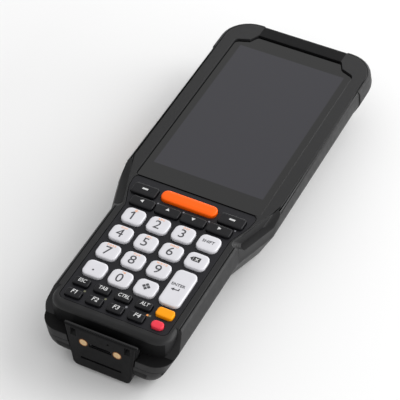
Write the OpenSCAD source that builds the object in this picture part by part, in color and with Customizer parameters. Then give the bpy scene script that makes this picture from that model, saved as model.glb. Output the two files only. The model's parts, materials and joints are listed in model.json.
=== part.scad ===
// Portable barcode data terminal: a rugged handheld computer with a touch screen head,
// a narrower grip that carries a 32 key keypad, and dock contacts on its bottom end.
//
// Frame: +X to the right of the screen, +Y towards the screen end, +Z out of the screen.
// The origin is under the middle of the terminal, on the plane of its rear face.
// The casing is a skin of rings: each ring is the plan outline, set inwards by the side profile.

/* [Casing] */
// Length from the dock face to the top of the corner bumpers
body_len = 200.5; // [192:0.5:245]
// Width of the head at its widest line, without the bumpers
head_w = 73.4; // [72:0.2:92]
// Width of the grip at its widest line
grip_w = 60.6; // [59:0.2:71]
// Thickness from the rear face to the rim of the front casing
body_t = 27.4; // [26.6:0.2:34]
// Depth of the widest line below the front rim
rail_drop = 6.9; // [5:0.1:8]
// How far the front rim is set in from the widest line
rail_in = 0.5; // [0.3:0.1:2]
// How far the rear face is set in from the widest line
tuck = 9.2; // [7:0.1:9.8]
// Height of the parting line between the casings
part_z = 14; // [13.8:0.1:16]
// Wall thickness of the casings
wall = 1.8; // [1.4:0.1:2.4]
// Radius of the casing's corners at the bottom end, seen from the front
end_r = 9.5; // [8:0.5:12]
// Radius of the casing's corners at the top end, seen from the front
top_r = 14; // [11:0.5:18]
// Radius where the head meets the shoulder
shoulder_r = 9; // [5:0.5:14]
// Radius where the shoulder meets the grip
waist_r = 6; // [4:0.5:14]
// Length of the shoulder's slope
shoulder_len = 20.5; // [16:0.5:26]
// Distance that the corner bumpers stand proud of the casing
bumper_proud = 0.5; // [0.4:0.1:1.2]
// Depth of the rebate in the casing that holds a bumper
bumper_rebate = 1; // [0.8:0.1:1.4]
// Length of the bumpers down the sides
bumper_len = 25; // [22:0.5:32]

/* [Screen] */
// Width of the touch glass
glass_w = 58.4; // [57.6:0.2:60]
// Length of the touch glass
glass_len = 105.4; // [104:0.2:108]
// Thickness of the touch glass
glass_t = 1.2; // [0.8:0.1:1.6]
// Depth of the glass below the front rim
glass_sunk = 1; // [0.6:0.1:1.4]
// Distance from the top of the bumpers to the glass
glass_top = 9.5; // [8.5:0.1:12]
// Half-width of the glass at its stepped top edge
notch_x = 20.8; // [18:0.2:23]
// Depth of the step at the glass's top corners
notch_drop = 4.2; // [3:0.1:5]
// Width of the display's active area
active_w = 51.84; // [50:0.02:52.4]
// Length of the display's active area
active_len = 86.4; // [84:0.1:87]
// Thickness of the display module
display_t = 2.6; // [2:0.1:3.2]

/* [Keypad] */
// Thickness of the keypad plate
plate_t = 1.2; // [1:0.1:1.6]
// Depth of the keypad plate below the front rim
plate_sunk = 0.2; // [0.1:0.05:0.5]
// Distance from the grip's widest line to the keypad plate
plate_in = 6; // [5.8:0.1:6.4]
// Height that the keys stand proud of the keypad plate
key_proud = 1.2; // [0.8:0.1:1.6]
// Travel of a key
key_travel = 0.5; // [0.3:0.05:0.6]
// Column pitch of the white keys
key_dx = 11.62; // [11.2:0.02:12]
// Row pitch of the white keys
key_dy = 11.06; // [10.6:0.02:11.5]
// Width of a white key
key_w = 9.4; // [8.4:0.1:9.8]
// Length of a white key
key_l = 8.5; // [7.6:0.1:9]
// Column pitch of the small keys
small_dx = 9.45; // [9.2:0.05:9.8]
// Row pitch of the small keys
small_dy = 6.7; // [6.4:0.1:7.2]
// Width of a small key
small_w = 6.7; // [6:0.1:8]
// Length of a small key
small_l = 4; // [3.6:0.1:4.9]
// Length of the scan key
scan_w = 25.6; // [20:0.2:26]
// Radius of a dome switch
dome_r = 2; // [1.6:0.1:2.3]

/* [Dock] */
// Width of the dock block at its top
dock_w = 34; // [32:0.5:38]
// Height of the dock block's front face
dock_h = 25; // [24:0.1:26]
// Distance that the dock face stands proud of the line round the front casing's end
dock_proud = 3; // [2.5:0.1:4]
// Radius of a gold dock contact
contact_r = 1.6; // [1:0.1:1.7]
// Distance between the gold dock contacts
contact_gap = 15.2; // [14:0.1:17]
// Height of the gold dock contacts
contact_z = 17.5; // [16:0.1:17.9]
// Distance between the two lock holes
lock_gap = 24.2; // [22.6:0.1:25.4]
// Width of a lock hole
lock_w = 2.6; // [2:0.1:3]
// Height of a lock hole
lock_h = 4.2; // [3.6:0.1:4.4]

/* [Battery] */
// Width of the battery pack
pack_w = 34.4; // [28:0.2:36]
// Length of the battery pack
pack_len = 82; // [68:0.5:100]
// Thickness of the battery pack
pack_t = 11.8; // [9:0.1:11.8]
// Travel of the battery latch
latch_travel = 2; // [1:0.1:2.4]

/* [Fits] */
// Gap round each key and side button
key_gap = 0.25; // [0.2:0.05:0.4]
// Gap round parts that are set into the casing
set_gap = 0.2; // [0.1:0.05:0.3]
// Gap round the battery pack
pack_gap = 0.3; // [0.2:0.05:0.5]

/* [Hidden] */
$fn = 48;
OVER = 1; // how far a cutting shape runs past the face that it opens
case_black = "#2b2c2e";
rubber_black = "#333436";
plate_black = "#26272a";
key_black = "#1a1a1c";
key_white = "#dedde2";
key_orange = "#ff6e0a";
key_amber = "#faa00a";
key_red = "#eb3c50";
board_green = "#1f5a3c";
steel = "#b9bcc0";
gold = "#ebc396";

// Named places along the length
head_x = head_w / 2;
grip_x = grip_w / 2;
top_y = body_len / 2;
case_top_y = top_y - bumper_proud;
dock_y = -body_len / 2;
end_y = dock_y + dock_proud;
glass_y1 = top_y - glass_top;
glass_y0 = glass_y1 - glass_len;
plate_line = 0.6; // groove between the glass and the keypad plate
plate_y1 = glass_y0 - plate_line;
shoulder_y = glass_y0 - 1.9;
waist_y = shoulder_y - shoulder_len;

// Named heights
belt_z = body_t - rail_drop;
glass_z = body_t - glass_sunk;
display_z = glass_z - glass_t;
main_board_t = 1.2;
main_board_z = display_z - display_t - 3;
plate_z = body_t - plate_sunk;
flange_gap = 0.2;
flange_t = 0.8;
flange_z = plate_z - plate_t - flange_gap - flange_t;
mat_z = flange_z - key_travel - 0.2;
mat_t = 2.8;
board_t = 1;
board_z = mat_z - mat_t;
dome_t = 0.4;
rear_edge_r = 3;
belt_r = 6;
front_edge_r = 1.4;
belt_turn = atan(tuck / belt_z) + atan(rail_in / rail_drop);
belt_over = belt_r * (1 / cos(belt_turn / 2) - 1); // the sharp corner lies this far outside its round
draft = atan((tuck + belt_over) / belt_z);

// Inset of the straight side wall at a height
function side_in(z) = tuck - (tuck + belt_over) * z / belt_z;

seam_in = side_in(part_z);
cavity_z = glass_z - 2.8; // roof of the front casing's hollow, above both boards

// ---- outlines ------------------------------------------------------------------------------

// Kinds of outline edge: each can be set in by an extra amount of its own
SIDE = 0;
GRIP = 1;
SLOPE = 2;
END = 3;
TOP = 4;
NO_EXTRA = [0, 0, 0, 0, 0];

function unit(v) = v / norm(v);

// Points of an arc of radius r that is tangent to both edges at corner b
function arc_at(a, b, c, r, n) =
  let(
    u = unit(a - b),
    v = unit(c - b),
    half = acos(max(-1, min(1, u * v))) / 2,
    middle = b + unit(u + v) * r / sin(half),
    first = b + u * r / tan(half) - middle,
    last = b + v * r / tan(half) - middle,
    a0 = atan2(first.y, first.x),
    turn = atan2(first.x * last.y - first.y * last.x, first * last)
  )
  [for (k = [0:n]) middle + r * [cos(a0 + turn * k / n), sin(a0 + turn * k / n)]];

// A corner is [x, y, radius, 1 for an outer corner or -1 for an inner one, steps of its arc,
// kind of the edge that follows it, least radius]
function at(corners, i) =
  let(c = corners[(i + len(corners)) % len(corners)])
  [c[0], c[1]];

min_r = 0.3;

function kind_of(c) = len(c) > 5 ? c[5] : SIDE;

function least_r(c) = len(c) > 6 ? c[6] : min_r;

// The corner moved inwards to where its two moved edges meet
function moved(corners, i, d, extra) =
  let(
    n = len(corners),
    e0 = unit(at(corners, i) - at(corners, i - 1)),
    e1 = unit(at(corners, i + 1) - at(corners, i)),
    n0 = [-e0.y, e0.x],
    n1 = [-e1.y, e1.x],
    c = n0 * n1,
    in0 = d + extra[kind_of(corners[(i + n - 1) % n])],
    in1 = d + extra[kind_of(corners[i])]
  )
  at(corners, i) + (n0 * (in0 - in1 * c) + n1 * (in1 - in0 * c)) / (1 - c * c);

// The whole rounded outline, set in by d and by the extra amount of each kind of edge
function outline(corners, d = 0, extra = NO_EXTRA) =
  let(n = len(corners), m = [for (i = [0:n - 1]) moved(corners, i, d, extra)])
  [
    for (i = [0:n - 1])
      each arc_at(m[(i + n - 1) % n], m[i], m[(i + 1) % n],
        max(least_r(corners[i]), corners[i][2] - corners[i][3] * d), corners[i][4])
  ];

// The right-hand corners, from the bottom up, and their mirror images
function both_sides(right) =
  concat(right, [
    for (i = [len(right) - 1:-1:0])
      [
        -right[i][0], each [for (k = [1:4]) right[i][k]],
        i > 0 ? kind_of(right[i - 1]) : END, least_r(right[i])
      ]
  ]);

end_least_r = 5.5;
CASE = both_sides([
  [grip_x, end_y, end_r, 1, 8, GRIP, end_least_r],
  [grip_x, waist_y, waist_r, -1, 3, SLOPE],
  [head_x, shoulder_y, shoulder_r, 1, 3, SIDE],
  [head_x, case_top_y, top_r, 1, 8, TOP]
]);

// The cover is the raised middle of the front casing; a groove parts it from the side rails
cover_head_x = head_x - 1.7;
cover_grip_x = grip_x - 3;
cover_y0 = end_y + 2.55;
cover_waist_y = waist_y + 9.5;
cover_shoulder_y = shoulder_y + 11.9;
COVER = both_sides([
  [cover_grip_x, cover_y0, 7, 1, 6],
  [cover_grip_x, cover_waist_y, 8, -1, 3],
  [cover_head_x, cover_shoulder_y, 10, 1, 4],
  [cover_head_x, case_top_y - 1.7, top_r - 1.7, 1, 8]
]);

glass_x = glass_w / 2;
notch_slope = 2.4;
GLASS = both_sides([
  [glass_x, glass_y0, 1.5, 1, 3],
  [glass_x, glass_y1 - notch_drop - notch_slope, 2, 1, 3],
  [notch_x + 2.2, glass_y1 - notch_drop, 0.8, -1, 2],
  [notch_x, glass_y1, 0.8, 1, 2]
]);

plate_x = grip_x - plate_in;
plate_y0 = end_y + 6.85;
PLATE = both_sides([
  [plate_x, plate_y0, 2.5, 1, 6],
  [plate_x, waist_y + 4.4, 3, -1, 2],
  [plate_x + 3.9, waist_y + 14.8, 6, 1, 3],
  [plate_x + 4.6, plate_y1, 2, 1, 3]
]);

function round_rect(w, l, r) = outline([
  [w / 2, -l / 2, r, 1, 5], [w / 2, l / 2, r, 1, 5], [-w / 2, l / 2, r, 1, 5], [-w / 2, -l / 2, r, 1, 5]
]);

module plan(points, z0, z1) {
  translate([0, 0, z0])
    linear_extrude(z1 - z0)
      polygon(points);
}

module box(x0, x1, y0, y1, z0, z1) {
  translate([x0, y0, z0])
    cube([x1 - x0, y1 - y0, z1 - z0]);
}

// A pair of mirrored copies, left and right
module pair() {
  children();
  mirror([1, 0, 0])
    children();
}

// ---- the casing's skin -----------------------------------------------------------------------

far_in = 6; // any point further in on a flat face
BELT = [-belt_over, belt_z];

// Extra insets by height: the grip's rail leans in, the slope and the bottom end fall back their own way
grip_rim = 1.15;
slope_rim = 2.2;
top_rim = 0.9;
slope_tuck = 0.12;
end_full = 2.6; // how far the end wall swells out past the end's own line
GRIP_LINE = [[belt_z, 0], [body_t, grip_rim]];
SLOPE_LINE = [[0, slope_tuck * tuck], [belt_z, 0], [body_t, slope_rim]];
// The end wall rounds under towards the rear face: [height, inset]
END_WALL = [
  [0, 4.8], [2, 3], [4, 1.1], [6, -0.5], [8, -1.7], [10, -2.4], [12, -end_full], [part_z, -end_full]
];
END_LINE = concat(
  [for (p = END_WALL) [p[0], p[1] - side_in(p[0])]],
  [[belt_z, belt_over - end_full], [body_t, belt_over - end_full]]
);
TOP_LINE = [[belt_z, 0], [body_t, top_rim]];

function extra_at(z) =
  [0, lookup(z, GRIP_LINE), lookup(z, SLOPE_LINE), lookup(z, END_LINE), lookup(z, TOP_LINE)];

// Rings are [inset, z, and extra insets where they differ from extra_at(z)], from the rear face upwards
REAR_RINGS = concat(
  arc_at([tuck + far_in, 0], [tuck, 0], BELT, rear_edge_r, 4),
  [for (p = END_WALL) if (p[0] > rear_edge_r) [side_in(p[0]), p[0]]]
);

FRONT_RINGS = concat(
  [[seam_in, part_z]],
  arc_at([seam_in, part_z], BELT, [rail_in, body_t], belt_r, 4),
  arc_at(BELT, [rail_in, body_t], [rail_in + far_in, body_t], front_edge_r, 3)
);

rim_t = 2.7;
rim_h = 1.2;
end_floor = 6.4; // insets of the hollows' end walls, from the floor up to the lip
end_rim = 3.4;
end_wall = 4.2;
lip_wall = 5.7;
slope_wall = 6.6;

function rear_ring(d, z, at_end) = [d, z, [0, 0, lookup(z, SLOPE_LINE), at_end - d, 0]];

function hollow_ring(d, z, at_end) = [d, z, [0, 0, slope_wall - d, at_end - d, 0]];

REAR_HOLLOW = [
  rear_ring(side_in(wall) + wall + 0.6, wall, end_floor),
  rear_ring(seam_in + rim_t, part_z + OVER, end_rim)
];

FRONT_HOLLOW = [
  hollow_ring(seam_in + rim_t, part_z - OVER, end_wall),
  hollow_ring(seam_in + rim_t, part_z + rim_h, end_wall),
  hollow_ring(wall + 0.8, part_z + rim_h + 2.4, lip_wall),
  hollow_ring(wall + 1.1, cavity_z, lip_wall)
];

function moved_rings(rings, d) = [for (r = rings) [r[0] + d, r[1]]];

module skin(rings, corners = CASE, mirrored = true) {
  loops = [for (r = rings) outline(corners, r[0], len(r) > 2 ? r[2] : extra_at(r[1]))];
  n = len(loops[0]);
  top = (len(rings) - 1) * n;
  points = [for (i = [0:len(rings) - 1]) each [for (p = loops[i]) [p.x, p.y, rings[i][1]]]];
  sides = [
    for (i = [0:len(rings) - 2], j = [0:n - 1])
      [i * n + j, (i + 1) * n + j, (i + 1) * n + (j + 1) % n, i * n + (j + 1) % n]
  ];
  // a symmetric loop is capped with strips between the points and their mirror images
  whole = [[for (j = [0:n - 1]) j], [for (j = [n - 1:-1:0]) top + j]];
  strips = [
    for (j = [0:n / 2 - 2])
      each [
        [j, j + 1, n - 2 - j, n - 1 - j],
        [top + n - 1 - j, top + n - 2 - j, top + j + 1, top + j]
      ]
  ];
  polyhedron(points, concat(mirrored ? strips : whole, sides), convexity = 6);
}

// ---- keys ------------------------------------------------------------------------------------

// Rows of the keypad, measured down from the plate's top edge
scan_y = plate_y1 - 6.3;
soft_y = plate_y1 - 7.4;
nav_y = plate_y1 - 14.4;
row_y = plate_y1 - 23.2;
small_y = row_y - 3 * key_dy - 8.5;

soft_x = 20.4;
soft_w = 11.4;
scan_l = 6;
nav_w = 10.8;
nav_l = 5;
nav_x = 5.95;
nav_side_x = 17.95;
col = [for (k = [0:3]) (k - 1.5) * key_dx];

// A key is [node, x, y, width, length, corner radius, colour, extra height]
WHITE_ROWS = [
  ["key_1", "key_2", "key_3", "key_shift"],
  ["key_4", "key_5", "key_6", "key_backspace"],
  ["key_7", "key_8", "key_9"],
  ["key_point", "key_0", "key_symbol"]
];
KEYS = concat(
  [
    ["key_soft_left", -soft_x, soft_y, soft_w, scan_l, 1.2, key_black, 0],
    ["key_scan", 0, scan_y, scan_w, scan_l, 2.6, key_orange, 0.3],
    ["key_soft_right", soft_x, soft_y, soft_w, scan_l, 1.2, key_black, 0],
    ["key_left", -nav_side_x, nav_y, nav_w, nav_l, 1.2, key_black, 0],
    ["key_up", -nav_x, nav_y, nav_w, nav_l, 1.2, key_black, 0],
    ["key_down", nav_x, nav_y, nav_w, nav_l, 1.2, key_black, 0],
    ["key_right", nav_side_x, nav_y, nav_w, nav_l, 1.2, key_black, 0]
  ],
  [
    for (r = [0:3], c = [0:len(WHITE_ROWS[r]) - 1])
      [WHITE_ROWS[r][c], col[c], row_y - r * key_dy, key_w, key_l, 2.5, key_white, 0]
  ],
  [["key_enter", col[3], row_y - 2.5 * key_dy, key_w, key_l + key_dy, 2.5, key_white, 0]],
  [
    for (k = [0:3])
      [["key_esc", "key_tab", "key_ctrl", "key_alt"][k], (k - 2) * small_dx, small_y,
        small_w, small_l, 0.8, key_black, 0]
  ],
  [
    for (k = [0:3])
      [["key_f1", "key_f2", "key_f3", "key_f4"][k], (k - 2) * small_dx, small_y - small_dy,
        small_w, small_l, 0.8, key_black, 0]
  ],
  [
    ["key_fn", 2 * small_dx, small_y, 7.4, 4.5, 1.3, key_amber, 0.1],
    ["key_power", 2 * small_dx, small_y - small_dy, 5.2, 3.8, 1.7, key_red, 0.1]
  ]
);

flange_out = 0.2; // how far the captive flange reaches past the hole in the plate
plunger_r = 1.2;
plunger_free = 0.1; // gap between the plunger at full travel and the dome

module key_cap(k) {
  edge = key_gap + flange_out;
  color(k[6])
    translate([k[1], k[2], 0]) {
      plan(round_rect(k[3], k[4], k[5]), flange_z, plate_z + key_proud + k[7]);
      plan(round_rect(k[3] + 2 * edge, k[4] + 2 * edge, k[5] + edge), flange_z, flange_z + flange_t);
      translate([0, 0, board_z + dome_t + key_travel + plunger_free])
        cylinder(r = plunger_r, h = flange_z - board_z - dome_t - key_travel - plunger_free + min_r);
    }
}

// One child at the middle of every key
module at_keys() {
  for (k = KEYS)
    translate([k[1], k[2], 0])
      children();
}

module keypad_plate() {
  color(plate_black)
    difference() {
      plan(outline(PLATE), plate_z - plate_t, plate_z);
      for (k = KEYS)
        translate([k[1], k[2], 0])
          plan(round_rect(k[3] + 2 * key_gap, k[4] + 2 * key_gap, k[5] + key_gap),
            plate_z - plate_t - OVER, plate_z + OVER);
    }
}

mat_in = 1.3;
board_in = 0.4;
pocket_h = 1.1;

module keypad_mat() {
  color(rubber_black)
    difference() {
      plan(outline(PLATE, mat_in), board_z, board_z + mat_t);
      at_keys() {
        translate([0, 0, board_z - OVER])
          cylinder(r = dome_r + 0.6, h = pocket_h + OVER);
        translate([0, 0, board_z])
          cylinder(r = plunger_r + 0.4, h = mat_t + OVER);
      }
    }
}

module keypad_board() {
  color(board_green)
    plan(outline(PLATE, board_in), board_z - board_t, board_z);
}

module dome_switches() {
  color(steel)
    at_keys()
      translate([0, 0, board_z])
        cylinder(r = dome_r, h = dome_t);
}

// ---- screws and bosses -------------------------------------------------------------------------

screw_r = 1;
head_r = 2;
head_t = 1.4;
head_sunk = 0.6;
boss_r = 2.3;
head_boss_wall = 1.1; // wall of a boss round the head of its screw
head_boss_floor = 1.4; // and above the head
top_screw_y = case_top_y - 14.2;
mid_screw_y = glass_y0 + 2.5;
end_screw_y = end_y + 4.75;
end_sunk = 3.6; // the end screws are set deep, because the wall rounds under there
SCREWS = [
  [20.5, top_screw_y, head_sunk],
  [-20.5, top_screw_y, head_sunk],
  [21.4, mid_screw_y, head_sunk],
  [-21.4, mid_screw_y, head_sunk],
  [13, end_screw_y, end_sunk],
  [-13, end_screw_y, end_sunk]
];
screw_top = cavity_z - 2;

// The children can read how deep each screw's head is set
module at_screws() {
  for (p = SCREWS) {
    $sunk = p.z;
    translate([p.x, p.y, 0])
      children();
  }
}

module housing_screws() {
  color(steel)
    at_screws()
      translate([0, 0, $sunk]) {
        cylinder(r = head_r, h = head_t);
        cylinder(r = screw_r, h = screw_top - $sunk);
      }
}

module screw_holes() {
  at_screws() {
    translate([0, 0, -OVER])
      cylinder(r = head_r + set_gap, h = $sunk + head_t + OVER);
    cylinder(r = screw_r + set_gap, h = screw_top + set_gap);
  }
}

// Pillars round the screws in the rear casing, wider round their heads
module rear_bosses() {
  at_screws() {
    cylinder(r = boss_r, h = part_z);
    cylinder(r = head_r + set_gap + head_boss_wall, h = $sunk + head_t + head_boss_floor);
  }
}

// ---- battery bay, latch and dock block -----------------------------------------------------------

latch_pocket_y0 = end_y + 6.4;
latch_body_l = 6.6;
latch_rest = 0.4; // gap between the latch and the end of its pocket at full travel
latch_y0 = latch_pocket_y0 + latch_rest + latch_travel;
latch_y1 = latch_y0 + latch_body_l;
pack_y0 = latch_y1 + 1.9 + pack_gap;
pack_y1 = pack_y0 + pack_len;
pack_r = 3;
bay_wall = 1.2;
latch_x = 8;
latch_knob_x = 6.2;
latch_lip = 1.1;
latch_deep = 2.3;
tongue_x = 4;

module pack_plan(grow, z0, z1) {
  translate([0, (pack_y0 + pack_y1) / 2, 0])
    plan(round_rect(pack_w + 2 * grow, pack_len + 2 * grow, pack_r + grow), z0, z1);
}

module battery_pack() {
  color(case_black)
    difference() {
      pack_plan(0, 0, pack_t);
      // finger grooves across the outer face
      for (k = [0:4])
        box(-pack_w / 4, pack_w / 4, pack_y1 - 12 - 3 * k, pack_y1 - 10.6 - 3 * k, -OVER, 0.6);
    }
}

contact_block_w = 14;
contact_block_z0 = 5;
contact_block_h = 4.6;

module battery_contacts() {
  block_y = pack_y1 + pack_gap + 0.2;
  color(gold)
    for (k = [-1.5:1.5])
      box(k * 3 - 0.6, k * 3 + 0.6, pack_y1 + 0.15, block_y + 0.1,
        contact_block_z0 + 1, contact_block_z0 + 3.6);
  color(key_black)
    box(-contact_block_w / 2, contact_block_w / 2, block_y, block_y + bay_wall + 2,
      contact_block_z0, contact_block_z0 + contact_block_h);
}

module battery_latch() {
  color(key_amber)
    difference() {
      union() {
        box(-latch_knob_x, latch_knob_x, latch_y0 + 0.8, latch_y1 - 0.8, 0.3, latch_lip + 0.2);
        box(-latch_x, latch_x, latch_y0, latch_y1, latch_lip + 0.15, latch_deep - 0.15);
        box(-tongue_x, tongue_x, latch_y1 - min_r, pack_y0 - pack_gap, latch_lip + 0.15, latch_deep - 0.15);
      }
      for (k = [0:2])
        box(-latch_knob_x + 1, latch_knob_x - 1, latch_y0 + 1.7 + 1.4 * k, latch_y0 + 2.3 + 1.4 * k,
          -OVER, 0.7);
    }
}

module latch_pocket() {
  box(-latch_knob_x - set_gap, latch_knob_x + set_gap, latch_pocket_y0 + 0.6, latch_y1 - 0.4, -OVER,
    latch_lip + OVER);
  box(-latch_x - set_gap, latch_x + set_gap, latch_pocket_y0, latch_y1 + set_gap, latch_lip, latch_deep);
  box(-tongue_x - set_gap, tongue_x + set_gap, latch_y1 - OVER, pack_y0, latch_lip, latch_deep);
}

dock_back_y = end_y + 1.3;
dock_crest_y = dock_y + 2; // back of the crest along the block's top
dock_step_z = belt_z + 0.7; // the crest stands free of the cover above this height
dock_edge_r = 3.4;
dock_taper = 4.6;
dock_foot_r = 6.5; // radius of the block's lower corners, seen from the end
dock_foot_drop = 0.3; // their flat would lie this far below the rear face
dock_plan_flat = 9; // half-width of the face's flat middle
dock_bow = 0.35; // how far the face falls back at its side edges

// Side view of the dock block as [y, z], turned to run along X
module dock_side() {
  points = concat(
    [[end_y + 12, 0]],
    arc_at([end_y + 12, 0], [dock_y, 0], [dock_y, dock_h], dock_edge_r, 6),
    arc_at([dock_y, 0], [dock_y, dock_h], [dock_crest_y, dock_h], 1, 4),
    [[dock_crest_y, dock_h], [dock_crest_y, dock_step_z], [dock_back_y, dock_step_z]],
    [[dock_back_y, part_z], [end_y + 12, part_z]]
  );
  rotate([90, 0, 90])
    translate([0, 0, -dock_w])
      linear_extrude(2 * dock_w)
        polygon([for (i = [len(points) - 1:-1:0]) points[i]]);
}

// Front view of the dock block as [x, z], narrower at the rear face
module dock_front(grow = 0) {
  half = dock_w / 2 + grow;
  foot = [half - dock_taper, -dock_foot_drop];
  brow = [half, dock_h];
  points = concat(
    arc_at([0, foot.y], foot, brow, dock_foot_r, 6),
    [[half, body_t + OVER], [-half, body_t + OVER]],
    arc_at([-brow.x, brow.y], [-foot.x, foot.y], [0, foot.y], dock_foot_r, 6)
  );
  translate([0, end_y + 20, 0])
    rotate([90, 0, 0])
      linear_extrude(40)
        polygon(points);
}

// Plan of the dock block: its face falls back a little to both sides
module dock_plan() {
  half = dock_w / 2 + OVER;
  plan([
    [-dock_plan_flat, dock_y], [dock_plan_flat, dock_y], [half, dock_y + dock_bow],
    [half, end_y + 20], [-half, end_y + 20], [-half, dock_y + dock_bow]
  ], -OVER, body_t + OVER);
}

module dock_block() {
  intersection() {
    dock_side();
    dock_front();
    dock_plan();
  }
}

dock_wall = 1.8;
lock_z = dock_h - 3.2;
slot_z = 17.2;
slot_w = 9.4;
slot_h = 1.4;
groove_z = 7.9; // groove across the foot of the dock face
groove_x = 9.2;
groove_h = 1.1;
strap_slot_z = 12.2;
strap_slot_w = 5.2;
strap_slot_h = 1.2;
microphone_r = 0.45;

module dock_cuts() {
  // room behind the face for the connector and the contacts
  box(-9.9, 9.9, dock_y + dock_wall, dock_back_y + OVER, part_z, belt_z - 0.5);
  pair()
    translate([contact_gap / 2, dock_y - OVER, contact_z])
      rotate([-90, 0, 0])
        cylinder(r = contact_r + 0.05, h = dock_wall + 2 * OVER);
  pair()
    box(lock_gap / 2 - lock_w / 2, lock_gap / 2 + lock_w / 2, dock_y - OVER, dock_back_y + OVER,
      lock_z - lock_h / 2, lock_z + lock_h / 2);
  box(-slot_w / 2 - 0.3, slot_w / 2 + 0.3, dock_y - OVER, dock_y + dock_wall + OVER,
    slot_z - slot_h / 2 - 0.3, slot_z + slot_h / 2 + 0.3);
  box(-groove_x, groove_x, dock_y - OVER, dock_y + 1.2, groove_z - groove_h / 2, groove_z + groove_h / 2);
  translate([3.6, dock_y - OVER, lock_z])
    rotate([-90, 0, 0])
      cylinder(r = microphone_r, h = 1 + OVER);
  // hand strap slots in the bottom corners
  pair()
    translate([grip_x - 5.4, end_y + 4.6, strap_slot_z])
      rotate([0, 0, 45])
        translate([-strap_slot_w / 2, -10, -strap_slot_h / 2])
          cube([strap_slot_w, 8.8, strap_slot_h]);
}

module dock_contacts() {
  color(gold)
    pair()
      translate([contact_gap / 2, dock_y, contact_z])
        rotate([-90, 0, 0]) {
          cylinder(r = contact_r, h = dock_wall + 0.4);
          translate([0, 0, dock_wall + 0.15])
            cylinder(r = contact_r + 0.4, h = 0.8);
        }
}

module dock_connector() {
  color(key_black)
    difference() {
      box(-slot_w / 2 - 0.2, slot_w / 2 + 0.2, dock_y + 0.5, dock_back_y - 0.2,
        slot_z - slot_h / 2 - 0.25, slot_z + slot_h / 2 + 0.25);
      difference() {
        box(-slot_w / 2 + 0.3, slot_w / 2 - 0.3, dock_y, dock_back_y - 1,
          slot_z - slot_h / 2, slot_z + slot_h / 2);
        box(-slot_w / 2 + 0.9, slot_w / 2 - 0.9, dock_y + 1.2, dock_back_y, slot_z - 0.25, slot_z + 0.25);
      }
    }
}

// ---- scan window, camera and speaker ---------------------------------------------------------------

window_w = 26;
window_h = 9;
window_t = 1;
window_sunk = 0.2;
window_z = 8;
window_y = case_top_y - tuck + (tuck + belt_over) * window_z / belt_z;

module at_window() {
  translate([0, window_y, window_z])
    rotate([-draft, 0, 0])
      children();
}

module window_box(w, h, y0, y1) {
  box(-w / 2, w / 2, y0, y1, -h / 2, h / 2);
}

module scan_window() {
  color(key_red)
    at_window()
      window_box(window_w, window_h, -window_sunk - window_t, -window_sunk);
}

engine_w = 22;
engine_l = 15;
engine_h = 11.4;
engine_y1 = case_top_y - REAR_HOLLOW[0][0] - set_gap;

module scan_engine() {
  color(key_black)
    difference() {
      box(-engine_w / 2, engine_w / 2, engine_y1 - engine_l, engine_y1, wall, wall + engine_h);
      for (x = [-6.5, 5])
        translate([x, engine_y1 - 1, wall + engine_h / 2])
          rotate([-90, 0, 0])
            cylinder(r = 3.4, h = 3);
    }
}

camera_y = engine_y1 - engine_l - 14;
lens_r = 5.2;
flash_x = 13;
flash_r = 2;

module camera_window() {
  color(key_black) {
    translate([0, camera_y, 0.3])
      cylinder(r = lens_r, h = 0.9);
    translate([flash_x, camera_y, 0.3])
      cylinder(r = flash_r, h = 0.9);
  }
}

module camera_module() {
  color(steel) {
    box(-4.5, 4.5, camera_y - 4.5, camera_y + 4.5, wall, wall + 5.2);
    translate([0, camera_y, 1.25])
      cylinder(r = 3.2, h = 1);
  }
}

speaker_x = -17;
speaker_y = max(pack_y1 + 22, glass_y0 + 39); // clear of the battery bay and of the middle screws
speaker_w = 17;
speaker_l = 13;
slot_pitch = 2.6;

module speaker() {
  color(steel)
    box(speaker_x - speaker_w / 2, speaker_x + speaker_w / 2, speaker_y - speaker_l / 2,
      speaker_y + speaker_l / 2, wall, wall + 4.2);
}

module vibration_motor() {
  color(steel)
    translate([17, speaker_y, wall])
      cylinder(r = 4, h = 2.8);
}

module rear_cuts() {
  at_window() {
    window_box(window_w + 2 * set_gap, window_h + 2 * set_gap, -window_sunk - window_t, 5);
    window_box(window_w - 2.4, window_h - 2.4, -8, 0);
  }
  translate([0, camera_y, -OVER]) {
    cylinder(r = lens_r + set_gap, h = 1.2 + OVER);
    cylinder(r = 3.4, h = wall + 2 * OVER);
  }
  translate([flash_x, camera_y, -OVER])
    cylinder(r = flash_r + set_gap, h = 1.2 + OVER);
  for (k = [-2:2])
    translate([speaker_x + k * slot_pitch, speaker_y, 0])
      box(-0.6, 0.6, -4.5, 4.5, -OVER, wall + OVER);
}

// ---- side buttons ------------------------------------------------------------------------------------

button_z0 = part_z + 2;
button_h = 5.4;
button_out = 0.5;
trigger_y = shoulder_y + 38;
trigger_l = 22;
volume_y = trigger_y + 28;
volume_l = 17;
button_deep = 2.6;
rocker_slack = 0.3;

// Side hole, or the button itself when slack is 0
module button_body(y, l, slack, x_out, x_in) {
  box(-x_out, -x_in, y - l / 2 - slack, y + l / 2 + slack,
    button_z0 - slack, button_z0 + button_h + slack);
}

module side_trigger() {
  color(key_amber)
    button_body(trigger_y, trigger_l, 0, head_x + button_out, head_x - button_deep);
  color(key_amber)
    button_body(trigger_y, trigger_l, 0.8, head_x - button_deep, head_x - button_deep - 0.8);
}

module volume_rocker() {
  color(key_black)
    button_body(volume_y, volume_l, 0, head_x + button_out, head_x - button_deep);
  color(key_black)
    button_body(volume_y, 2, 0, head_x - button_deep, head_x - button_deep - 0.8);
}

module button_cuts() {
  button_body(trigger_y, trigger_l, key_gap, head_x + 2, head_x - 6);
  button_body(volume_y, volume_l, key_gap, head_x + 2, head_x - 6);
  // room for the trigger's flange and its travel
  button_body(trigger_y, trigger_l, 0.8 + key_gap, head_x - button_deep, head_x - 6);
}

// ---- casings -----------------------------------------------------------------------------------------

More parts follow.
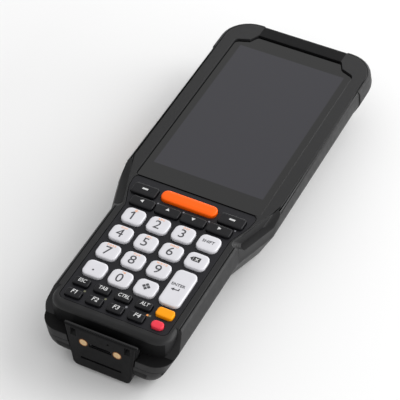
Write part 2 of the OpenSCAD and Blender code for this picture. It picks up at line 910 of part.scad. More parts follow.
module rear_housing() {
  color(case_black)
    difference() {
      union() {
        skin(REAR_RINGS);
        dock_block();
      }
      difference() {
        skin(REAR_HOLLOW);
        pack_plan(pack_gap + bay_wall, 0, pack_t + pack_gap + bay_wall);
        rear_bosses();
        box(-dock_w, dock_w, dock_y, latch_y1 + 3, 0, latch_deep + bay_wall);
      }
      pack_plan(pack_gap, -OVER, pack_t + pack_gap);
      box(-contact_block_w / 2 - set_gap, contact_block_w / 2 + set_gap,
        pack_y1, pack_y1 + pack_gap + bay_wall + OVER,
        contact_block_z0 - set_gap, contact_block_z0 + contact_block_h + set_gap);
      latch_pocket();
      screw_holes();
      dock_cuts();
      rear_cuts();
      seal_ring(seal_gap);
    }
}

seal_w = 0.8;
seal_h = 1;
seal_gap = 0.05;
seal_in = seam_in + rim_t / 2;
seal_end_in = 2.2;
SEAL_EXTRA = [0, 0, slope_tuck * seam_in, seal_end_in - seal_in, 0];

module seal_ring(grow) {
  top = part_z + (grow > 0 ? OVER : 0);
  difference() {
    plan(outline(CASE, seal_in - seal_w / 2 - grow, SEAL_EXTRA), part_z - seal_h - grow, top);
    plan(outline(CASE, seal_in + seal_w / 2 + grow, SEAL_EXTRA), part_z - seal_h - OVER, top + OVER);
  }
}

module housing_seal() {
  color(rubber_black)
    seal_ring(0);
}

bumper_x = notch_x;
bumper_y = top_y - bumper_len;

module bumper_zone() {
  pair()
    box(bumper_x, head_x + 3, bumper_y, top_y + OVER, part_z, body_t + OVER);
}

// The casing inside the bumpers: its sides run straight up past the rim
module front_core() {
  skin(moved_rings(concat(
    [[seam_in, part_z - OVER]],
    arc_at([seam_in, part_z], BELT, [rail_in, body_t], belt_r, 4),
    [[rail_in, body_t + OVER]]
  ), bumper_rebate));
}

module corner_bumpers() {
  color(rubber_black)
    intersection() {
      bumper_zone();
      difference() {
        skin(moved_rings(FRONT_RINGS, -bumper_proud));
        front_core();
      }
    }
}

ledge_w = 1.5;
plate_ledge = 0.5;
board_rib = 2.4;

// Groove between the cover and the rails, up to the bumpers
groove_w = 0.35;
groove_deep = 0.7;

module cover_ring(z0, y0, y1) {
  intersection() {
    difference() {
      plan(outline(COVER, -groove_w), z0, body_t + OVER);
      plan(outline(COVER), z0 - OVER, body_t + 2 * OVER);
    }
    box(-head_x, head_x, y0, y1, z0 - OVER, body_t + 2 * OVER);
  }
}

// Low ledge outside the cover at the shoulder: the cover's edge stands over it as a steep face
shelf_z = body_t - 3.7;
shelf_x0 = cover_grip_x - 0.5;
shelf_y0 = cover_waist_y - 4;
shelf_y1 = shoulder_y + 1.6;
shelf_lean = (cover_head_x - cover_grip_x) / (cover_shoulder_y - cover_waist_y);
SHELF = [
  [head_x + 4, shelf_y0, 0.5, 1, 1, SIDE],
  [head_x + 4, shelf_y1, 0.5, 1, 1, GRIP],
  [shelf_x0 + (shelf_y1 - shelf_y0) * shelf_lean, shelf_y1, 3, 1, 4, SLOPE],
  [shelf_x0, shelf_y0, 2.5, 1, 4, END]
];

module shoulder_shelves() {
  pair()
    skin([[0, shelf_z, NO_EXTRA], [0, body_t + OVER, [0, -9.5, -0.95, -5, 0]]], SHELF, false);
}

// Bottom end: the rails fall away from the cover to a recess that runs round below the cover's lip
recess_z = belt_z - 2.5;
lip_r = 2.2;
ramp_y = cover_y0 + 10.2;
ramp_len = 8.4;
ramp_over = OVER * ramp_len / (body_t - recess_z);

module cover_end() {
  skin(concat(
    [[0, recess_z - OVER, NO_EXTRA]],
    [for (p = arc_at([0, recess_z], [0, body_t], [far_in, body_t], lip_r, 5)) [p.x, p.y, NO_EXTRA]],
    [[lip_r, body_t + 2 * OVER, NO_EXTRA]]
  ), COVER);
}

module end_cuts() {
  difference() {
    rotate([90, 0, 90])
      translate([0, 0, -head_x])
        linear_extrude(2 * head_x)
          polygon([
            [ramp_y + ramp_over, body_t + OVER], [dock_y - OVER, body_t + OVER],
            [dock_y - OVER, recess_z], [ramp_y - ramp_len, recess_z]
          ]);
    cover_end();
  }
}

module front_housing() {
  color(case_black)
    difference() {
      skin(FRONT_RINGS);
      difference() {
        bumper_zone();
        front_core();
      }
      difference() {
        skin(FRONT_HOLLOW);
        at_screws()
          cylinder(r = boss_r, h = cavity_z + OVER);
        board_ribs();
      }
      plan(outline(GLASS, -set_gap), display_z - 0.1, body_t + OVER);
      plan(outline(GLASS, ledge_w), cavity_z - OVER, body_t + OVER);
      plan(outline(PLATE, -set_gap), plate_z - plate_t - 0.1, body_t + OVER);
      plan(outline(PLATE, plate_ledge), cavity_z - OVER, body_t + OVER);
      cover_ring(body_t - groove_deep, dock_y, bumper_y - 0.6);
      shoulder_shelves();
      end_cuts();
      screw_holes();
      button_cuts();
      // notch for the dock block
      intersection() {
        dock_front(set_gap);
        box(-dock_w, dock_w, dock_y - OVER, dock_back_y + set_gap, part_z - OVER, body_t + OVER);
      }
    }
}

module board_ribs() {
  pair() {
    for (y = [waist_y - 4, small_y + 6])
      box(plate_x - mat_in + 0.3, grip_x, y - board_rib / 2, y + board_rib / 2, board_z, cavity_z + OVER);
    for (y = [shoulder_y + 20, shoulder_y + 84])
      box(main_board_x - 1, head_x, y - board_rib / 2, y + board_rib / 2,
        main_board_z + main_board_t, cavity_z + OVER);
  }
}

// ---- screen and boards -------------------------------------------------------------------------------

module touch_glass() {
  color("#3e3e42")
    plan(outline(GLASS), display_z, glass_z);
}

display_x = glass_x - ledge_w - 0.4;
display_y1 = glass_y1 - notch_drop - notch_slope - 1.2;
active_y1 = display_y1 - 0.7;

module display_module() {
  color(key_black)
    difference() {
      box(-display_x, display_x, active_y1 - active_len - 5, display_y1,
        display_z - display_t, display_z);
      box(-active_w / 2, active_w / 2, active_y1 - active_len, active_y1,
        display_z - 0.1, display_z + OVER);
    }
}

main_board_x = head_x - 6.2;
main_board_y0 = shoulder_y + 15;
main_board_y1 = case_top_y - 17.3;

module main_board() {
  color(board_green)
    box(-main_board_x, main_board_x, main_board_y0, main_board_y1,
      main_board_z, main_board_z + main_board_t);
}

can_w = 24;
can_l = 30;
can_h = 1.9;

module board_shields() {
  color(steel)
    pair()
      box(3, 3 + can_w, main_board_y0 + 14, main_board_y0 + 14 + can_l, main_board_z - can_h, main_board_z);
}

module antenna() {
  y1 = case_top_y - wall - 1.4;
  color(gold)
    box(-19, 19, y1 - 5.4, y1, cavity_z - 3.3, cavity_z - 0.3);
}

PIECES = [
  "rear_housing", "front_housing", "corner_bumpers", "keypad_plate", "touch_glass", "display_module",
  "keypad_mat", "keypad_board", "dome_switches", "main_board", "board_shields", "scan_engine",
  "scan_window", "housing_seal", "housing_screws", "dock_contacts", "dock_connector", "speaker",
  "camera_module", "camera_window", "antenna", "battery_contacts", "battery_pack", "battery_latch",
  "side_trigger", "volume_rocker", "vibration_motor"
];

rear_housing();
front_housing();
corner_bumpers();
keypad_plate();
touch_glass();
display_module();
keypad_mat();
keypad_board();
dome_switches();
main_board();
board_shields();
scan_engine();
scan_window();
housing_seal();
housing_screws();
dock_contacts();
dock_connector();
speaker();
camera_module();
camera_window();
antenna();
battery_contacts();
battery_pack();
battery_latch();
side_trigger();
volume_rocker();
vibration_motor();
for (k = KEYS)
  key_cap(k);
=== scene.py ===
# %% [markdown]
# # A rugged data terminal with a screen and a keypad
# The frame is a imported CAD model: every piece is already at its size and place. This lesson gives
# the pieces their looks. Sharp CAD edges are rounded, key tops are crowned, legends are printed, and
# each material gets its grain, gloss and small flaws. Lengths are in metres, as the frame's are, so
# a size in millimetres is written as a number times MM.

# %% Load the frame
import json
import math

import bpy
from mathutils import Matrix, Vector


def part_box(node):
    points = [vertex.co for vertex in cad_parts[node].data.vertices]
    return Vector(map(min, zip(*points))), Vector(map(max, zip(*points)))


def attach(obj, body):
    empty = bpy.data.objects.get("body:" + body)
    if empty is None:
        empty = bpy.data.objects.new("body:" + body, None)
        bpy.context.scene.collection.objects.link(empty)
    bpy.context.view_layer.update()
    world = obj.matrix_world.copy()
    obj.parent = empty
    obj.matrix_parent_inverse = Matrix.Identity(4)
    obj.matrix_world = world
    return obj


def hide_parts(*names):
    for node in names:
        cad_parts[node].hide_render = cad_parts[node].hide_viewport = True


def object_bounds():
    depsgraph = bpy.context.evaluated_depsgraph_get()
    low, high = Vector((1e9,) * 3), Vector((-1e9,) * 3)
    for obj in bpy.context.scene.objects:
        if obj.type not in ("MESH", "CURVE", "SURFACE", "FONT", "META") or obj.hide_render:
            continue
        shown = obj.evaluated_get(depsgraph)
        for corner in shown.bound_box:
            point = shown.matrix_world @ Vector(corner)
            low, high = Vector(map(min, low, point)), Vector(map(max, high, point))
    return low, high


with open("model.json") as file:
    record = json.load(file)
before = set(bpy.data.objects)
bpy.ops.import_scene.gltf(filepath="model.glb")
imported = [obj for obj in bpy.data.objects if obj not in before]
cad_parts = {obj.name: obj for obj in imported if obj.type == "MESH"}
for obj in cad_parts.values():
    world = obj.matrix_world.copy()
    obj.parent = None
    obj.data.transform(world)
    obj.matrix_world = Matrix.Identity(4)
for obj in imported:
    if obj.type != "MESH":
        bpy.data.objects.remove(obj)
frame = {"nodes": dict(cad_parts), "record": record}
cad_low, cad_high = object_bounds()
MM = 0.001
print("frame:", len(frame["nodes"]), "nodes,", [round(v / MM, 1) for v in cad_high - cad_low], "mm")

# %% [markdown]
# ## The camera
# Hand-held devices are usually shown from the front right and from well above, with a long lens
# that keeps the sides nearly parallel. The camera could be placed by its coordinates. Here it is
# placed by its turn and height round the point that it looks at, because those two angles say what
# a viewer sees.

# %% Camera
CAMERA_TURN = math.radians(26.52)
CAMERA_HEIGHT = math.radians(45.32)
CAMERA_DISTANCE = 757.57 * MM
CAMERA_AIM = Vector((2.73, -16.98, 27.4)) * MM
CAMERA_LENS = 162
NEAREST_SEEN = 50 * MM

backwards = Vector((
    math.sin(CAMERA_TURN) * math.cos(CAMERA_HEIGHT),
    -math.cos(CAMERA_TURN) * math.cos(CAMERA_HEIGHT),
    math.sin(CAMERA_HEIGHT),
))
bpy.ops.object.select_all(action="DESELECT")
bpy.ops.object.camera_add(
    location=CAMERA_AIM + CAMERA_DISTANCE * backwards,
    rotation=(-backwards).to_track_quat("-Z", "Y").to_euler(),
)
camera = bpy.context.object
camera.name = "Camera"
camera.data.lens = CAMERA_LENS
camera.data.clip_start = NEAREST_SEEN
bpy.context.scene.camera = camera
print("camera at", [round(v / MM) for v in camera.location], "mm")

# %% [markdown]
# ## Finishes
# Every finish is one Principled shader. A surface could also be a painted image, but an image needs
# a UV map and is sharp at one distance only. So the numbers that are the same all over are set on
# the shader's own sockets, and noise in object coordinates then varies the colour and roughness a
# little, because a moulded part is never one flat tone.

# %% One shader for each finish
FINISHES = {}


def socket_of(material, name):
    """A socket of the material's Principled shader."""
    return material.node_tree.nodes["Principled BSDF"].inputs[name]


def finish_called(name, colour, roughness, **sockets):
    """A new material: one Principled shader with plain numbers on its sockets."""
    material = bpy.data.materials.new(name)
    material.use_nodes = True
    socket_of(material, "Base Color").default_value = (*colour, 1)
    socket_of(material, "Roughness").default_value = roughness
    for key, value in sockets.items():
        socket_of(material, key.replace("_", " ")).default_value = value
    return material


# %% [markdown]
# ### Noise
# A noise node asks for a scale. The size of its patches is given here as a length, which is easier
# to judge on a real part: colour drifts over a centimetre or so, and mould grain is a third of a
# millimetre. Object coordinates could be replaced by a UV map, but a pattern that has no direction
# needs none.

# %% Read noise
def new_node(material, kind):
    return material.node_tree.nodes.new("ShaderNode" + kind)


def link(material, output, socket):
    material.node_tree.links.new(output, socket)


def object_place(material):
    """The output that gives a point's place on the piece, in metres."""
    for node in material.node_tree.nodes:
        if node.type == "TEX_COORD":
            return node.outputs["Object"]
    return new_node(material, "TexCoord").outputs["Object"]


def noise_of(material, size, detail=2):
    """Noise whose patches have that size, in metres."""
    noise = new_node(material, "TexNoise")
    noise.inputs["Scale"].default_value = 1 / size
    noise.inputs["Detail"].default_value = detail
    link(material, object_place(material), noise.inputs["Vector"])
    return noise.outputs["Fac"]


print("noise with patches of 1 mm has the scale", round(1 / MM))

# %% [markdown]
# ### What noise moves
# Most values of a noise lie near a half. For a mix of two colours that is calm enough, but a number
# such as the roughness would hardly move, so there the noise's middle is spread over the whole
# range that is wanted. Bumps are given their real depth.

# %% Drift, mottle and grain
NOISE_RANGE = (0.3, 0.7)


def carried(material, value, source, target):
    """A value carried from one range to another, and held at the ends."""
    node = new_node(material, "MapRange")
    for name, number in zip(("From Min", "From Max", "To Min", "To Max"), (*source, *target)):
        node.inputs[name].default_value = number
    link(material, value, node.inputs["Value"])
    return node.outputs["Result"]


def vary(material, socket, low, high, size, detail=2):
    """Lets noise move a socket between two numbers."""
    noise = noise_of(material, size, detail)
    link(material, carried(material, noise, NOISE_RANGE, (low, high)), socket_of(material, socket))


def mottle(material, first, second, size, detail=3):
    """Lets noise mix two colours over the surface."""
    mix = new_node(material, "Mix")
    mix.data_type = "RGBA"
    mix.inputs["A"].default_value = (*first, 1)
    mix.inputs["B"].default_value = (*second, 1)
    link(material, noise_of(material, size, detail), mix.inputs["Factor"])
    link(material, mix.outputs["Result"], socket_of(material, "Base Color"))


def grain(material, size, depth):
    """Bumps of that size and depth, in metres."""
    bump = new_node(material, "Bump")
    bump.inputs["Distance"].default_value = depth
    link(material, noise_of(material, size), bump.inputs["Height"])
    link(material, bump.outputs["Normal"], socket_of(material, "Normal"))


print("noise is spread from", NOISE_RANGE)

# %% [markdown]
# ### The casing's plastic
# The casing is glass-filled polycarbonate from a spark-eroded mould: nearly black, matt, with a
# sandy grain. One black all over would be simpler, but the dock face and the recess under the lip
# lie in shade. That shade is painted: blacks differ less in colour than in gloss, so the same maker
# gives a second, darker black with less gloss.

# %% Casing
CASE_TONE = 0.012
CASE_GLOSS = 0.30
# tone and gloss of the painted shade on the dock face and in the recess under the lip
SHADE_TONE = 0.0075
SHADE_GLOSS = 0.09
CASE_DRIFT = 0.12


def moulded_casing(name, tone, gloss):
    """A mould-grained black plastic; its darker patches are a little bluer."""
    material = finish_called(name, (tone, tone, tone * 1.05), 0.48, Specular_IOR_Level=gloss)
    dark, light = tone * (1 - CASE_DRIFT), tone * (1 + CASE_DRIFT)
    mottle(material, (dark, dark, dark * 1.06), (light, light, light * 1.03), 14 * MM)
    vary(material, "Roughness", 0.42, 0.56, 3 * MM, detail=4)
    grain(material, 0.35 * MM, 0.02 * MM)
    return material


FINISHES["case_black"] = moulded_casing("moulded_casing", CASE_TONE, CASE_GLOSS)
# painted shade: a darker, less glossy black for the dock face and the recess under the lip
PAINTED_SHADE_BLACK = moulded_casing("painted_shade_black", SHADE_TONE, SHADE_GLOSS)
print("casing finishes:", FINISHES["case_black"].name, "and", PAINTED_SHADE_BLACK.name)

# %% [markdown]
# ### Rubber, film and smooth plastic
# The corner bumpers are a soft rubber, a little lighter and rougher than the casing. The keypad's
# plate is covered with a film, so it looks darker and cooler. Small mouldings, such as the dock
# connector, come out of a polished mould. One material for all blacks would be simpler, but then the
# pieces would melt into one, so each has the same recipe with its own colour, gloss and grain.

# %% Rubber, film, smooth black
def bumper_rubber():
    material = finish_called("bumper_rubber", (0.016, 0.016, 0.017), 0.6, Specular_IOR_Level=0.35)
    mottle(material, (0.014, 0.014, 0.015), (0.019, 0.0188, 0.019), 9 * MM)
    vary(material, "Roughness", 0.55, 0.68, 2 * MM)
    grain(material, 0.5 * MM, 0.02 * MM)
    return material


def keypad_film():
    material = finish_called("keypad_film", (0.010, 0.010, 0.013), 0.4, Specular_IOR_Level=0.24)
    mottle(material, (0.009, 0.009, 0.0115), (0.012, 0.0118, 0.0148), 11 * MM)
    vary(material, "Roughness", 0.36, 0.46, 4 * MM)
    grain(material, 0.25 * MM, 0.008 * MM)
    return material


def smooth_black():
    material = finish_called("smooth_black", (0.010, 0.010, 0.011), 0.3, Specular_IOR_Level=0.4)
    mottle(material, (0.009, 0.009, 0.010), (0.013, 0.013, 0.014), 6 * MM)
    vary(material, "Roughness", 0.24, 0.36, 2 * MM)
    return material


FINISHES["rubber_black"] = bumper_rubber()
FINISHES["plate_black"] = keypad_film()
FINISHES["inner_black"] = smooth_black()
print("finishes so far:", sorted(FINISHES))

# %% [markdown]
# ### Plastic of the keys
# The keys could be painted, and then their edges would wear. They are moulded in their colour, which
# goes all through, so one colour is enough. Seen close, it drifts by a few hundredths, and the top
# has fine rubbing marks, which the roughness noise stands for. Only the white keys have a trace of
# clear coat.

# %% Key plastics
WHITE = (0.66, 0.655, 0.69)
ORANGE = (1.0, 0.12, 0.0)
AMBER = (0.92, 0.33, 0.0)
RED = (0.80, 0.04, 0.07)
KEY_BLACK = (0.008, 0.008, 0.0095)


def key_plastic(slot, colour, drift, roughness, gloss, coat=0.0):
    """A key plastic whose colour drifts by a share of itself."""
    material = finish_called(
        slot, colour, roughness, Specular_IOR_Level=gloss, Coat_Weight=coat, Coat_Roughness=0.16,
    )
    mottle(material, [v * (1 - drift) for v in colour], [v * (1 + drift) for v in colour], 5 * MM)
    vary(material, "Roughness", roughness - 0.05, roughness + 0.07, 1.2 * MM, detail=4)
    grain(material, 0.4 * MM, 0.004 * MM)
    FINISHES[slot] = material


key_plastic("key_white", WHITE, 0.03, 0.36, 0.4, coat=0.1)
key_plastic("key_black", KEY_BLACK, 0.15, 0.32, 0.22)
key_plastic("key_orange", ORANGE, 0.04, 0.42, 0.2)
key_plastic("key_amber", AMBER, 0.04, 0.42, 0.2)
key_plastic("key_red", RED, 0.05, 0.4, 0.25)
key_plastic("latch_amber", AMBER, 0.05, 0.45, 0.25)
print("finishes so far:", len(FINISHES))

# %% [markdown]
# ### Two colours on one surface
# A printed border could be a piece of its own, but it has no thickness to speak of. A mask does it:
# the point's distance from the middle of a rectangle, along each axis, says whether it is inside.
# The mask reads object coordinates, so it moves with its piece.

# %% A mask for a rectangle
EDGE_BLUR = 0.05 * MM


def inside_of(material, middle, width, length):
    """The output that is 1 inside a rectangle seen from the front, and 0 outside it."""
    place = new_node(material, "VectorMath")
    place.operation = "SUBTRACT"
    place.inputs[1].default_value = middle
    link(material, object_place(material), place.inputs[0])
    size = new_node(material, "VectorMath")
    size.operation = "ABSOLUTE"
    link(material, place.outputs["Vector"], size.inputs[0])
    parts = new_node(material, "SeparateXYZ")
    link(material, size.outputs["Vector"], parts.inputs["Vector"])
    both = new_node(material, "Math")
    both.operation = "MULTIPLY"
    for axis, half, socket in zip("XY", (width / 2, length / 2), both.inputs):
        edge = (half + EDGE_BLUR, half - EDGE_BLUR)
        link(material, carried(material, parts.outputs[axis], edge, (0, 1)), socket)
    return both.outputs["Value"]


def recolour(material, mask, colour):
    """Gives the base another colour where the mask is 1."""
    base = socket_of(material, "Base Color")
    mix = new_node(material, "Mix")
    mix.data_type = "RGBA"
    mix.inputs["A"].default_value = base.default_value
    if base.is_linked:
        link(material, base.links[0].from_socket, mix.inputs["A"])
    mix.inputs["B"].default_value = (*colour, 1)
    link(material, mask, mix.inputs["Factor"])
    link(material, mix.outputs["Result"], base)


print("a mask's edge is", 2 * EDGE_BLUR / MM, "mm wide")

# %% [markdown]
# ### The touch glass
# With the screen off, the glass shows a black printed border round a slightly bluish grey active
# area of 4 inches. The glass itself adds a sharp reflection, so it is one smooth shader with two
# base colours under it.

# %% Screen glass
ACTIVE_W = 51.84 * MM
ACTIVE_L = 86.4 * MM
ACTIVE_FROM_TOP = 0.7 * MM
BORDER_BLACK = (0.002, 0.002, 0.0022)
ACTIVE_GREY = (0.020, 0.0195, 0.026)
display_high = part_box("display_module")[1]
active_middle = Vector((0, display_high.y - ACTIVE_FROM_TOP - ACTIVE_L / 2, 0))


def screen_glass():
    material = finish_called("screen_glass", BORDER_BLACK, 0.09, Coat_Weight=0.3)
    recolour(material, inside_of(material, active_middle, ACTIVE_W, ACTIVE_L), ACTIVE_GREY)
    vary(material, "Roughness", 0.07, 0.11, 20 * MM)
    return material


FINISHES["touch_glass"] = screen_glass()
print("active area:", round(ACTIVE_W / MM, 2), "by", round(ACTIVE_L / MM, 2), "mm")

# %% [markdown]
# ### The bezel between the bumpers
# Above the glass, between the two top bumpers, the bezel lies in shade and looks darker. It is the
# same moulding, so it keeps the casing's recipe, and a mask over that strip paints the shade: it
# deepens the colour and takes gloss away.

# %% Front casing
BEZEL_W = 41.2 * MM
BEZEL_PAST_END = 0.5 * MM  # how far the mask runs past the bezel, so that it covers the fillets
# painted shade: the darker colour laid over the bezel strip between the top bumpers
BEZEL_SHADE = (0.0055, 0.0055, 0.0058)
glass_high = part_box("touch_glass")[1]
bezel_l = cad_high.y - glass_high.y


def front_casing():
    material = moulded_casing("front_casing", CASE_TONE, CASE_GLOSS)
    middle = Vector((0, glass_high.y + bezel_l / 2, 0))
    # the mask paints shade on the bezel strip: a darker colour and less gloss
    mask = inside_of(material, middle, BEZEL_W, bezel_l + 2 * BEZEL_PAST_END)
    recolour(material, mask, BEZEL_SHADE)
    gloss = carried(material, mask, (0, 1), (CASE_GLOSS, SHADE_GLOSS))
    link(material, gloss, socket_of(material, "Specular IOR Level"))
    return material


FRONT_BLACK_WITH_BEZEL_SHADE = front_casing()
print("bezel:", round(BEZEL_W / MM, 1), "by", round(bezel_l / MM, 1), "mm")

# %% [markdown]
# ### Metals
# Contacts are plated in gold, screws, domes and cans are bare steel, and the rings round the
# contacts are tarnished brass. Turning, punching and brushing leave very fine marks. They could be
# drawn along their direction, but on pieces as small as these it is never seen, so a metal here is
# its colour, a wide range of roughness and a grain a few thousandths of a millimetre deep.

# %% Metals
def metal(name, colour, roughness, mark_depth):
    """A metal with fine brushing or turning marks of that depth."""
    material = finish_called(name, colour, roughness, Metallic=1.0)
    mottle(material, [v * 0.88 for v in colour], colour, 1.5 * MM)
    vary(material, "Roughness", roughness - 0.06, roughness + 0.1, 0.8 * MM)
    grain(material, 0.15 * MM, mark_depth)
    return material


FINISHES["steel"] = metal("steel", (0.52, 0.53, 0.55), 0.3, 0.004 * MM)
FINISHES["gold"] = metal("gold", (0.86, 0.60, 0.33), 0.24, 0.003 * MM)
BROWN_BRASS = metal("brown_brass", (0.30, 0.13, 0.05), 0.4, 0.002 * MM)
print("metals: steel, gold and", BROWN_BRASS.name)

# %% [markdown]
# ### Windows, boards and the display's back
# The scan window is a red filter that lets only the laser's colour through, and the camera's window
# is black round its lens. Glass that shows only darkness behind it needs no refraction, so both are
# solid dark colours with a smooth surface. The boards inside have green resist over copper.

# %% Windows and boards
def scan_filter():
    material = finish_called("scan_filter", (0.07, 0.002, 0.003), 0.06, Specular_IOR_Level=0.3)
    mottle(material, (0.055, 0.0015, 0.002), (0.085, 0.003, 0.004), 6 * MM)
    return material


def lens_black():
    material = finish_called("lens_black", (0.004, 0.004, 0.006), 0.06, Coat_Weight=1.0)
    mottle(material, (0.003, 0.003, 0.005), (0.008, 0.007, 0.012), 3 * MM)
    return material


def circuit_board():
    material = finish_called("circuit_board", (0.012, 0.09, 0.045), 0.35, Coat_Weight=0.4)
    mottle(material, (0.008, 0.065, 0.032), (0.02, 0.12, 0.06), 1.1 * MM)
    grain(material, 0.6 * MM, 0.01 * MM)
    return material


def screen_back():
    material = finish_called("screen_back", (0.03, 0.03, 0.034), 0.3)
    mottle(material, (0.026, 0.026, 0.03), (0.034, 0.034, 0.038), 12 * MM)
    return material


FINISHES["scan_red"] = scan_filter()
FINISHES["lens_black"] = lens_black()
FINISHES["board_green"] = circuit_board()
FINISHES["display_grey"] = screen_back()
print("finishes in all:", len(FINISHES))

# %% [markdown]
# ### Inks
# Legends are screen-printed, one ink after another. Each key could have its own copy of an ink, but
# a press has one pot for each colour, and so has this list. Ink is thin and matt, and its cover is
# slightly uneven, which shows as a faint mottle when it is seen very close.

# %% Inks
def ink(name, colour):
    """A screen-printed ink: thin, matt, with slightly uneven cover."""
    material = finish_called(name, colour, 0.5)
    mottle(material, [v * 0.85 for v in colour], [min(1, v * 1.1) for v in colour], 0.6 * MM)
    return material


DARK_INK = ink("dark_ink", (0.045, 0.045, 0.052))
BLACK_INK = ink("black_ink", (0.012, 0.012, 0.014))
WHITE_INK = ink("white_ink", (0.62, 0.62, 0.62))
ORANGE_INK = ink("orange_ink", (0.92, 0.36, 0.10))
OLIVE_INK = ink("olive_ink", (0.16, 0.16, 0.10))
GREY_INK = ink("grey_ink", (0.22, 0.22, 0.24))
print("materials in all:", len(bpy.data.materials))

# %% [markdown]
# ### Dress the CAD nodes
# Each node could be dressed by its name, but the record says which material slot it has, so one
# loop gives every node its finish. The nodes that stay inside need no more than this. A node that
# needs better edges gets a new piece, which takes over its slot and its place and rides on the same
# body.

# %% Dress the nodes
slot_of = {part["node"]: part["material_slot"] for part in frame["record"]["subparts"]}
body_of = {n: body for body, names in frame["record"]["behaviour"]["bodies"].items() for n in names}
for node, piece in frame["nodes"].items():
    piece.data.materials.clear()
    piece.data.materials.append(FINISHES[slot_of[node]])


def stand_for(piece, node):
    """Gives a finished piece its node's finish, and lets it ride and show in the node's place."""
    if not piece.data.materials:
        piece.data.materials.append(FINISHES[slot_of[node]])
    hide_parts(node)
    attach(piece, body_of[node])


# %% [markdown]
# ## Copies with whole faces
# A CAD node's own mesh stays as it is. A new piece could be built from nothing, but a copy of the
# node already has the right shape and place. An operator acts on everything that is selected, so
# each step first selects the one piece it is for. The CAD mesh is made of loose triangles: their
# corners are merged, and the triangles of one flat face are dissolved into it, so that only the
# real edges are left.

# %% Copy a node
MERGE_WITHIN = 0.001 * MM
FLAT_WITHIN = math.radians(0.8)


def only(piece):
    """Leaves one piece selected and active."""
    bpy.ops.object.select_all(action="DESELECT")
    piece.select_set(True)
    bpy.context.view_layer.objects.active = piece


def copy_of(node, name):
    """A copy of a CAD node with its loose triangles merged into whole flat faces."""
    piece = bpy.data.objects.new(name, frame["nodes"][node].data.copy())
    piece.data.name = name
    bpy.context.scene.collection.objects.link(piece)
    piece.data.materials.clear()
    only(piece)
    bpy.ops.mesh.customdata_custom_splitnormals_clear()
    bpy.ops.object.mode_set(mode="EDIT")
    bpy.ops.mesh.select_all(action="SELECT")
    bpy.ops.mesh.remove_doubles(threshold=MERGE_WITHIN)
    bpy.ops.mesh.dissolve_limited(angle_limit=FLAT_WITHIN)
    bpy.ops.object.mode_set(mode="OBJECT")
    return piece


print("front casing as it comes:", len(frame["nodes"]["front_housing"].data.polygons), "triangles")

# %% [markdown]
# ## Rounded edges
# Real mouldings have no sharp edge: each one is a fillet of a few tenths of a millimetre, and the
# light that runs along these fillets is what makes plastic look moulded. A Bevel modifier could
# round every edge, but it also fills the inner corners, and where a groove is narrower than the
# bevel its faces cross. So only the edges that stand out are picked and bevelled. The two faces at
# an edge turn away from each other on an outer corner and towards each other in a groove, and the
# cross product of their directions, seen along the edge, tells which.

# %% Pick and round edges
SHARP_BEND = 32
SOFT_SEGMENTS = 2


def bend_of(mesh):
    """Each edge with its bend in degrees (above 0 is outwards), its middle and its direction."""
    corners, owner = mesh.vertices, {}
    for face in mesh.polygons:
        for first, last in zip(face.vertices, [*face.vertices[1:], face.vertices[0]]):
            owner[first, last] = face
    for edge in mesh.edges:
        first, last = edge.vertices
        near, far = owner.get((first, last)), owner.get((last, first))
        along = corners[last].co - corners[first].co
        bend = 0
        if near and far and min(near.normal.length, far.normal.length) > 0:
            outwards = near.normal.dot(far.normal.cross(-along)) < 0
            bend = math.degrees(near.normal.angle(far.normal)) * (1 if outwards else -1)
        yield edge, bend, (corners[first].co + corners[last].co) / 2, along.normalized()


def round_edges(piece, width, segments, wanted):
    """Bevels the edges that wanted(bend, middle, direction) names."""
    piece.data.polygons.foreach_set("select", [False] * len(piece.data.polygons))
    piece.data.vertices.foreach_set("select", [False] * len(piece.data.vertices))
    for edge, bend, middle, along in bend_of(piece.data):
        edge.select = wanted(bend, middle, along)
    only(piece)
    bpy.context.tool_settings.mesh_select_mode = (False, True, False)
    bpy.ops.object.mode_set(mode="EDIT")
    bpy.ops.mesh.bevel(offset=width, segments=segments, affect="EDGES", clamp_overlap=False)
    bpy.ops.object.mode_set(mode="OBJECT")


print("edges that bend outwards by over", SHARP_BEND, "degrees get", SOFT_SEGMENTS, "segments")

# %% [markdown]
# ### Smooth shading
# A fillet of two segments looks round only if its shading is smooth, but plain smoothing also bends
# the light over the large flat faces next to it. Weighted normals let the large faces win, so they
# stay flat and the fillets do all the turning.

# %% Smooth shading
SMOOTH_BELOW = 40


def apply(piece, kind, **settings):
    """Adds a modifier to a piece, with these settings, and applies it."""
    only(piece)
    modifier = piece.modifiers.new(kind.title(), kind)
    for key, value in settings.items():
        setattr(modifier, key, value)
    bpy.ops.object.modifier_apply(modifier=modifier.name)


def smooth_shading(piece, angle=SMOOTH_BELOW):
    """Smooths the shading, and keeps the large faces flat."""
    only(piece)
    bpy.ops.object.shade_smooth_by_angle(angle=math.radians(angle))
    apply(piece, "WEIGHTED_NORMAL", keep_sharp=True)


def soften(piece, width, skip):
    """Rounds the sharp outer edges, except at the skipped places."""
    def wanted(bend, place, along):
        return bend > SHARP_BEND and not skip(place)

    round_edges(piece, width, SOFT_SEGMENTS, wanted)
    smooth_shading(piece)


print("the shading is smooth over bends under", SMOOTH_BELOW, "degrees")

# %% [markdown]
# ### The dock face
# The terminal stands in its dock on the flat face at its bottom end. Its holes and slots keep the
# crisp edges that a mould's pins leave. Its two upright edges have a much larger round, so that the
# terminal slides into the dock without catching. Edges could be picked by their numbers, but these
# change with every edit of the CAD, so both places are named by a test on coordinates.

